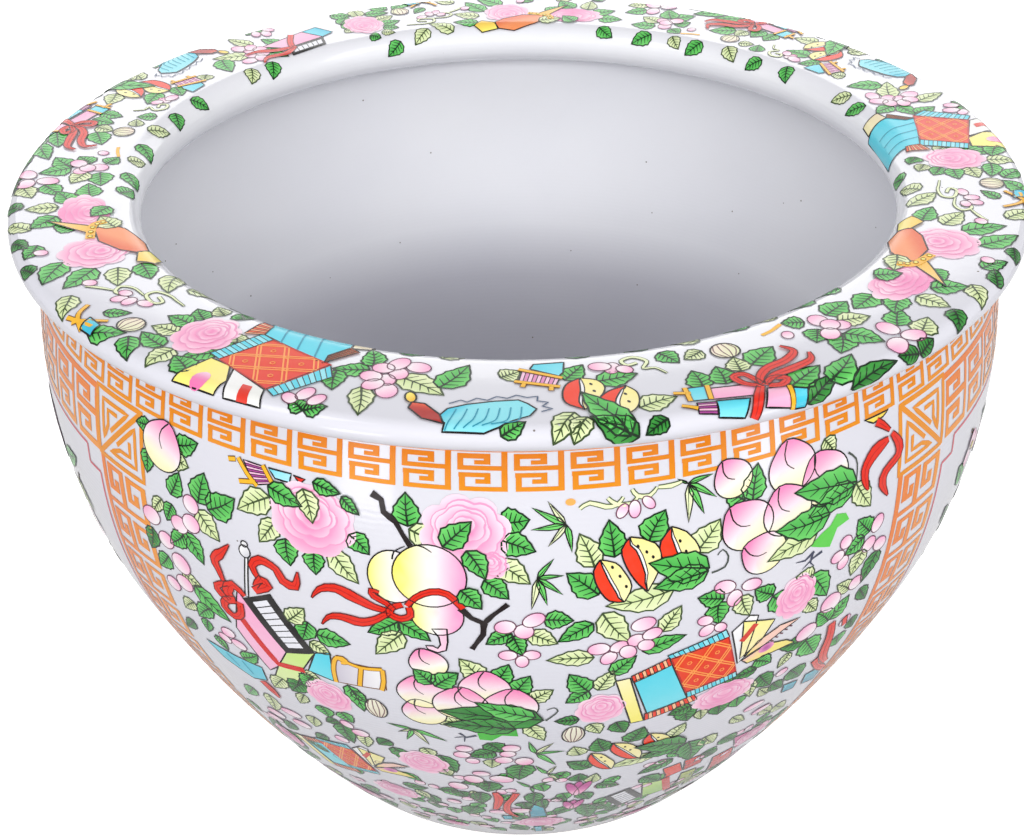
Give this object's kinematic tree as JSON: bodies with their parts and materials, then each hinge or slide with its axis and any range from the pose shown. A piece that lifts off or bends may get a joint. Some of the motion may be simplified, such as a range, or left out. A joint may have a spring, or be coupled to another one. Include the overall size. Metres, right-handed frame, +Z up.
{
  "type": "fish bowl jardiniere",
  "caption": "Round open porcelain bowl on a low foot ring, with a broad overhanging rim, a key fret neck, two fret frames and flowered enamel grounds.",
  "frame": {"origin": "centre of the foot ring's standing face", "axes": "+Z up the bowl's axis of revolution, -Y to the front, the middle of one flowered ground, +X to the right-hand fret frame"},
  "size_m": [0.4061, 0.4062, 0.2979],
  "materials": {
    "porcelain": "clear glossy glaze",
    "slip": "fired slip under the glaze",
    "biscuit": "unglazed, ground flat",
    "fret_enamel": "glossy overglaze enamel",
    "line_enamel": "glossy overglaze enamel",
    "picture_enamel": "glossy overglaze enamel",
    "flower_enamel": "glossy overglaze enamel"
  },
  "bodies": {
    "root": {"foot_ring": "biscuit", "foot_slip_joint": "slip", "floor_slab": "porcelain", "floor_slip_joint": "slip", "lower_wall": "porcelain", "wall_slip_joint": "slip", "upper_wall": "porcelain", "rim_slip_joint": "slip", "rim": "porcelain", "neck_fret_strip_1": "fret_enamel", "neck_fret_strip_2": "fret_enamel", "neck_fret_strip_3": "fret_enamel", "neck_fret_strip_4": "fret_enamel", "neck_fret_strip_5": "fret_enamel", "neck_fret_strip_6": "fret_enamel", "flowered_rim": "flower_enamel", "fret_frame_right": "fret_enamel", "frame_line_right": "line_enamel", "picture_right": "picture_enamel", "fret_frame_left": "fret_enamel", "frame_line_left": "line_enamel", "picture_left": "picture_enamel", "flowered_ground_front": "flower_enamel", "flowered_ground_back": "flower_enamel"}
  },
  "joints": []
}
